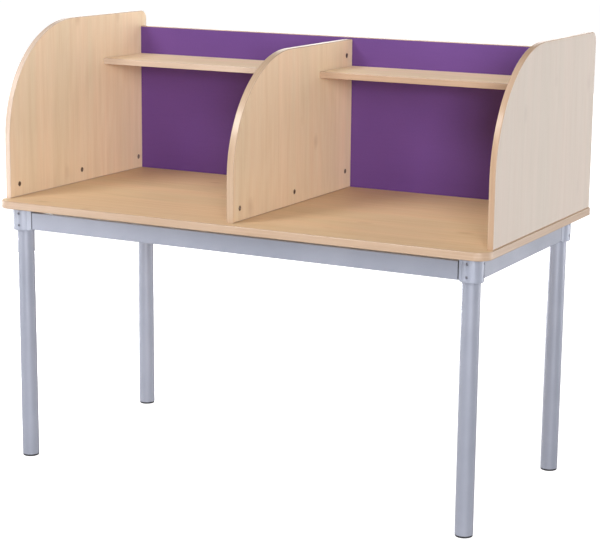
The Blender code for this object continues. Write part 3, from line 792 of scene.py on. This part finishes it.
def make_foot(label, axis):
    """A moulded insert: a low rounded flange under the tube, and a ribbed plug inside it."""
    node = "foot_insert_" + label
    low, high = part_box(node)
    radius = (high.x - low.x) / 2
    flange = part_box("leg_" + label)[0].z - 0.0006
    rise, run = 0.0016, 0.0030
    profile = [(0, 0.0), (0, radius - run)]
    for i in range(1, 6):
        a = math.radians(90 * i / 5)
        profile.append((rise * (1 - math.cos(a)), radius - run + run * math.sin(a)))
    plug = radius - 0.0014
    profile += [(flange - 0.0003, radius), (flange, radius - 0.0003), (flange, plug)]
    for rib in range(3):
        z = flange + 0.005 + 0.006 * rib
        profile += [(z, plug - 0.0008), (z + 0.0006, plug - 0.0001), (z + 0.0020, plug - 0.0008)]
    profile += [(high.z - 0.002, plug - 0.0008), (high.z, plug - 0.003), (high.z, 0.0)]
    profile = [(z, max(r, 0.0002)) for z, r in profile]
    foot = lathe(node + "_moulding", (axis.x, axis.y, 0), (0, 0, 1), profile, ROUND, PLASTIC)
    crisp(piece(foot, "black_plastic", node))


# ---------------------------------------------------------------- fittings


def cross_tool(length, width, depth, over):
    """A tapered cross that cuts a driver recess, about the Z axis and down from z = 0."""
    loops = []
    for z, scale in ((-depth, 0.55), (0.0, 1.0), (over, 1.15)):
        outline = []
        for turn in range(4):
            a = math.radians(90 * turn)
            u, v = length / 2 * scale, width / 2 * scale
            for p, q in ((u, -v), (u, v), (v, v)):
                outline.append((p * math.cos(a) - q * math.sin(a), p * math.sin(a) + q * math.cos(a), z))
        loops.append(outline)
    return skin("cross", loops)


def cam_mesh(length):
    """A cam disc: turned rim, shallow dish and cross recess, its face at z = 0, its body below."""
    profile = [
        (-length, CAM_RADIUS - 0.0006),
        (-length + 0.0006, CAM_RADIUS),
        (-0.0005, CAM_RADIUS),
        (-0.0001, CAM_RADIUS - 0.0004),
        (0.0, CAM_RADIUS - 0.0010),
        (-0.0003, CAM_RADIUS - 0.0018),
        (-0.0003, 0.0002),
    ]
    disc = lathe("cam_master", (0, 0, 0), (0, 0, 1), profile, 64, ZINC)
    boolean(disc, [cross_tool(0.0082, 0.0020, 0.0032, 0.002)])
    return disc


def screw_mesh(name, head, height, shank, length, material, sunk=False):
    """A screw with a cross recess, its seat at z = 0, head above and shank below."""
    profile = [(-length, shank * 0.3), (0.004 - length, shank)]
    if sunk:
        profile += [(-height, shank), (-0.0002, head - 0.0001), (0.0, head - 0.0003), (0.0, 0.0002)]
        rise = 0.0
    else:
        profile += [(0.0, shank), (0.00005, head - 0.0002), (0.0004, head)]
        for i in range(1, 7):
            a = math.radians(80 * i / 6)
            profile.append((0.0004 + (height - 0.0004) * math.sin(a), head * math.cos(a * 0.98)))
        profile.append((height, 0.0002))
        rise = height
    screw = lathe(name, (0, 0, 0), (0, 0, 1), profile, 48, material)
    tool = cross_tool(head * 1.15, head * 0.27, height * 0.75, 0.002)
    tool.location.z = rise
    return boolean(screw, [tool])


def copy_of(master, name, place, out, spin=0.0):
    """A copy that shares the master's mesh, its Z axis turned to point out of the surface."""
    obj = bpy.data.objects.new(name, master.data)
    bpy.context.scene.collection.objects.link(obj)
    turn = Vector((0, 0, 1)).rotation_difference(Vector(out)).to_matrix().to_4x4()
    obj.matrix_world = Matrix.Translation(place) @ turn @ Matrix.Rotation(spin, 4, "Z")
    return obj


def make_cams():
    """One disc per cam, each turned to its own angle, sharing a mesh between cams of one length."""
    masters = {}
    for node in cam_nodes():
        low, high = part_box(node)
        centre = centre_of(node)
        out = 1 if node.startswith(("left", "divider")) else -1
        face = high.x if out > 0 else low.x
        length = round(high.x - low.x, 4)
        if length not in masters:
            masters[length] = cam_mesh(length)
        spin = math.radians(12 + 37 * len(node) % 80)
        cam = copy_of(masters[length], node + "_disc", (face, centre.y, centre.z), (out, 0, 0), spin)
        crisp(piece(cam, "cam_zinc", node))
    for master in masters.values():
        bpy.data.objects.remove(master, do_unlink=True)


def make_screws(seats):
    """The clamp screws in two faces of each casting, the worktop screws and the shelf screws."""
    clamp = screw_mesh("clamp_master", 0.0036, 0.0022, SHANK_RADIUS, 0.013, DARK_STEEL)
    pad = screw_mesh("pad_master", 0.0040, 0.0028, SHANK_RADIUS, 0.0218, STEEL)
    sunk = screw_mesh("sunk_master", 0.0042, 0.0030, SHANK_RADIUS, 0.0445, STEEL, sunk=True)
    for label, sx, sy in CORNERS:
        axis = axis_of(label)
        seat = seats[label]
        for row, (level, z) in enumerate(zip(("lower", "upper"), SCREW_ZS), 1):
            node = "clamp_screw_" + label + "_" + level
            spin = math.radians(23 * row + 31 * (sx + 2) + 17 * sy)
            place = (axis.x, axis.y + sy * seat, z)
            screw = copy_of(clamp, node + "_head", place, (0, sy, 0), spin)
            crisp(piece(screw, "bolt_steel", node))
            place = (axis.x + sx * seat, axis.y, z)
            name = "side_clamp_screw_" + label + "_" + level
            crisp(piece(copy_of(clamp, name, place, (sx, 0, 0), spin + 0.5), "bolt_steel"))
        node = "worktop_screw_" + label
        seat_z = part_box(node)[0].z + PAD_HEAD
        place = (axis.x - sx * PAD_OFFSET, axis.y - sy * PAD_OFFSET, seat_z)
        crisp(piece(copy_of(pad, node + "_pan_head", place, (0, 0, -1)), "bolt_steel", node))
    for node in ("shelf_screw_left", "shelf_screw_right"):
        centre = centre_of(node)
        place = (centre.x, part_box(node)[1].y, centre.z)
        screw = copy_of(sunk, node + "_sunk_head", place, (0, 1, 0), 0.4)
        crisp(piece(screw, "bolt_steel", node))
    for master in (clamp, pad, sunk):
        bpy.data.objects.remove(master, do_unlink=True)


def finish_hidden_nodes():
    """The bolts and dowels inside the boards keep their CAD shape and get their own finish."""
    for name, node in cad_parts.items():
        if not node.hide_render:
            node.data.materials.clear()
            node.data.materials.append(BEECH if "dowel" in name else STEEL)


# ---------------------------------------------------------------- stage


def make_floor():
    """Two pale sheets: the camera sees the upper one, and the lower one bounces light up at the table."""
    for name, glow, tone in (("studio_floor", 1.0, 0.30), ("bounce_floor", 0.0, 0.60)):
        g = Graph("pale_" + name, roughness=0.65, Specular_IOR_Level=0.1)
        g.shader.inputs["Emission Color"].default_value = rgb(1.0, 1.0, 1.0)
        g.shader.inputs["Emission Strength"].default_value = glow
        cloud = g.noise(0.35, None, 3.0, 0.5)
        plain, cool = rgb(tone, tone, tone), rgb(tone, tone, tone + 0.01)
        g.set(Base_Color=g.mix(g.span(cloud, 0.3, 0.7), plain, cool))
        z = 0.0 if glow else -0.0005
        far = 60
        verts = [(-far, -far, z), (far, -far, z), (far, far, z), (-far, far, z)]
        floor = mesh_object(name, verts, [(0, 1, 2, 3)], g.material)
        floor.visible_camera = glow > 0
        floor.visible_diffuse = floor.visible_glossy = floor.visible_shadow = not glow


def make_world():
    world = bpy.data.worlds.new("studio")
    bpy.context.scene.world = world
    world.use_nodes = True
    background = world.node_tree.nodes["Background"]
    background.inputs["Color"].default_value = rgb(1.0, 1.0, 1.0)
    background.inputs["Strength"].default_value = 0.04


# Softboxes: name, place, side of the square and power in watts. The far ones light both bays evenly, the
# backdrop gives the boards' top edges their pale gleam, and the low ones lift the legs' shaded sides.
LIGHTS = (
    ("right_front", (6.5, -9.2, 4.6), 3.0, 380.0),
    ("beside_camera", (5.9, -9.5, 2.6), 2.4, 700.0),
    ("left_front_high", (-3.0, -4.9, 5.7), 2.5, 300.0),
    ("left_side", (-4.5, 0.0, 1.2), 2.0, 112.0),
    ("left_low_back", (-2.6, 2.0, 0.5), 1.0, 150.0),
    ("right_back", (4.5, 2.6, 1.5), 2.5, 86.0),
    ("back", (1.6, 6.0, 1.6), 2.5, 40.0),
    ("backdrop", (-4.0, 8.5, 2.4), 6.0, 300.0),
    ("low_front", (1.0, -4.2, 0.35), 0.8, 8.0),
    ("low_left", (-2.4, -2.4, 0.4), 0.8, 9.0),
    ("low_right", (2.6, 2.2, 0.5), 1.0, 12.0),
    ("overhead", (0.0, 0.0, 4.5), 3.0, 40.0),
)


def make_lights():
    for name, place, size, power in LIGHTS:
        light = bpy.data.lights.new(name, "AREA")
        light.shape = "SQUARE"
        light.size = size
        light.energy = power
        obj = bpy.data.objects.new(name, light)
        bpy.context.scene.collection.objects.link(obj)
        obj.location = place
        obj.rotation_euler = (Vector((0, 0, 0.8)) - Vector(place)).to_track_quat("-Z", "Y").to_euler()
        obj.visible_camera = False


def make_camera():
    """The viewpoint of the reference view: to the right of the front, a little above the shelves."""
    yaw, pitch, roll = CAMERA_TURN
    forward = Vector((-math.sin(yaw) * math.cos(pitch), math.cos(yaw) * math.cos(pitch), -math.sin(pitch)))
    right = Vector((math.cos(yaw), math.sin(yaw), 0.0))
    up = right.cross(forward)
    level = Matrix((right, up, -forward)).transposed()
    data = bpy.data.cameras.new("camera")
    data.sensor_width = 36.0
    data.lens = FOCAL_LENGTH_MM
    data.clip_start = 0.1
    data.clip_end = 200.0
    camera = bpy.data.objects.new("camera", data)
    bpy.context.scene.collection.objects.link(camera)
    turn = level @ Matrix.Rotation(roll, 3, "Z")
    camera.matrix_world = Matrix.Translation(CAMERA_PLACE) @ turn.to_4x4()
    bpy.context.scene.camera = camera


def main():
    scene = bpy.context.scene
    scene.view_settings.view_transform = "Standard"
    make_worktop()
    make_uprights()
    make_shelves()
    make_back_panel()
    for node, along in (("front_rail", "X"), ("back_rail", "X"), ("left_rail", "Y"), ("right_rail", "Y")):
        make_rail(node, along)
    seats = {}
    for label, sx, sy in CORNERS:
        axis = axis_of(label)
        seats[label] = make_casting(label, sx, sy, axis)
        make_leg(label, axis)
        make_foot(label, axis)
    make_cams()
    make_screws(seats)
    finish_hidden_nodes()
    make_floor()
    make_world()
    make_lights()
    make_camera()


main()
